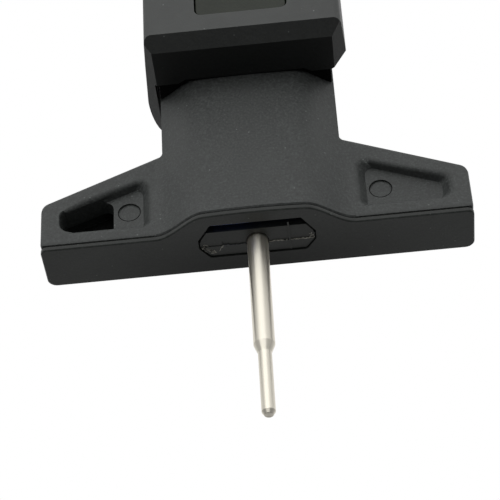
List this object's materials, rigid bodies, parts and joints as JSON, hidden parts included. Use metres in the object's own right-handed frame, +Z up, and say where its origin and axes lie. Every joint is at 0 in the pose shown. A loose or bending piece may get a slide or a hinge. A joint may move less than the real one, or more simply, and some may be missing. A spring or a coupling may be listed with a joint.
{
  "type": "tyre tread depth gauge",
  "caption": "Handheld digital depth gauge: a T-shaped foot and hollow neck, a display unit that slides on the neck, and a stepped steel probe that it moves through the foot.",
  "frame": {"origin": "centre of the probe tip's end face, with the probe fully extended", "axes": "+Z up along the probe and the neck, -Y towards the side with the display, +X along the foot to the right as seen from the display side"},
  "size_m": [0.056, 0.0188, 0.1112],
  "materials": {
    "plastic": "fine moulded texture",
    "door_plastic": "smooth moulded",
    "inner_plastic": "moulded",
    "steel": "polished",
    "screw_steel": "blackened",
    "spring_steel": "plated",
    "cell_steel": "satin",
    "blue_board": "solder mask",
    "green_board": "solder mask",
    "lcd": "reflective liquid crystal cell",
    "clear": "clear window",
    "rubber": "moulded silicone",
    "key_plastic": "moulded",
    "flex": "polyimide film"
  },
  "bodies": {
    "base": {"base_front_shell": "plastic", "base_rear_shell": "plastic", "foot_plate": "plastic", "scale_board": "blue_board", "base_screw_1": "screw_steel", "base_screw_2": "screw_steel", "base_screw_3": "screw_steel", "base_screw_4": "screw_steel", "stop_screw": "screw_steel"},
    "slider": {"display_case": "plastic", "rear_cover": "plastic", "battery_cell": "cell_steel", "contact_negative": "spring_steel", "contact_positive": "spring_steel", "main_board": "green_board", "lcd_glass": "lcd", "zebra_strip": "rubber", "lcd_window": "clear", "keypad_sheet": "rubber", "carriage_front": "inner_plastic", "carriage_rear": "inner_plastic", "probe_rod": "steel", "readhead_board": "green_board", "ribbon_cable": "flex", "carriage_screw_1": "screw_steel", "carriage_screw_2": "screw_steel", "cover_screw_1": "screw_steel", "cover_screw_2": "screw_steel", "cover_screw_3": "screw_steel", "cover_screw_4": "screw_steel", "hood_screw_1": "screw_steel", "hood_screw_2": "screw_steel"},
    "button_on_off": {"button_on_off": "key_plastic"},
    "button_unit": {"button_unit": "key_plastic"},
    "button_zero": {"button_zero": "key_plastic"},
    "battery_door": {"battery_door": "door_plastic"}
  },
  "joints": [
    {"name": "probe_slide", "type": "slide", "parent": "base", "child": "slider", "axis": [0, 0, 1], "range_m": [0, 0.0275]},
    {"name": "button_on_off_press", "type": "slide", "parent": "slider", "child": "button_on_off", "axis": [0, 1, 0], "range_m": [0, 0.0005], "stiffness_N_per_m": 800},
    {"name": "button_unit_press", "type": "slide", "parent": "slider", "child": "button_unit", "axis": [0, 1, 0], "range_m": [0, 0.0005], "stiffness_N_per_m": 800},
    {"name": "button_zero_press", "type": "slide", "parent": "slider", "child": "button_zero", "axis": [0, 1, 0], "range_m": [0, 0.0005], "stiffness_N_per_m": 800},
    {"name": "battery_door_lift", "type": "slide", "parent": "slider", "child": "battery_door", "axis": [0, -1, 0], "range_m": [0, 0.006]}
  ]
}
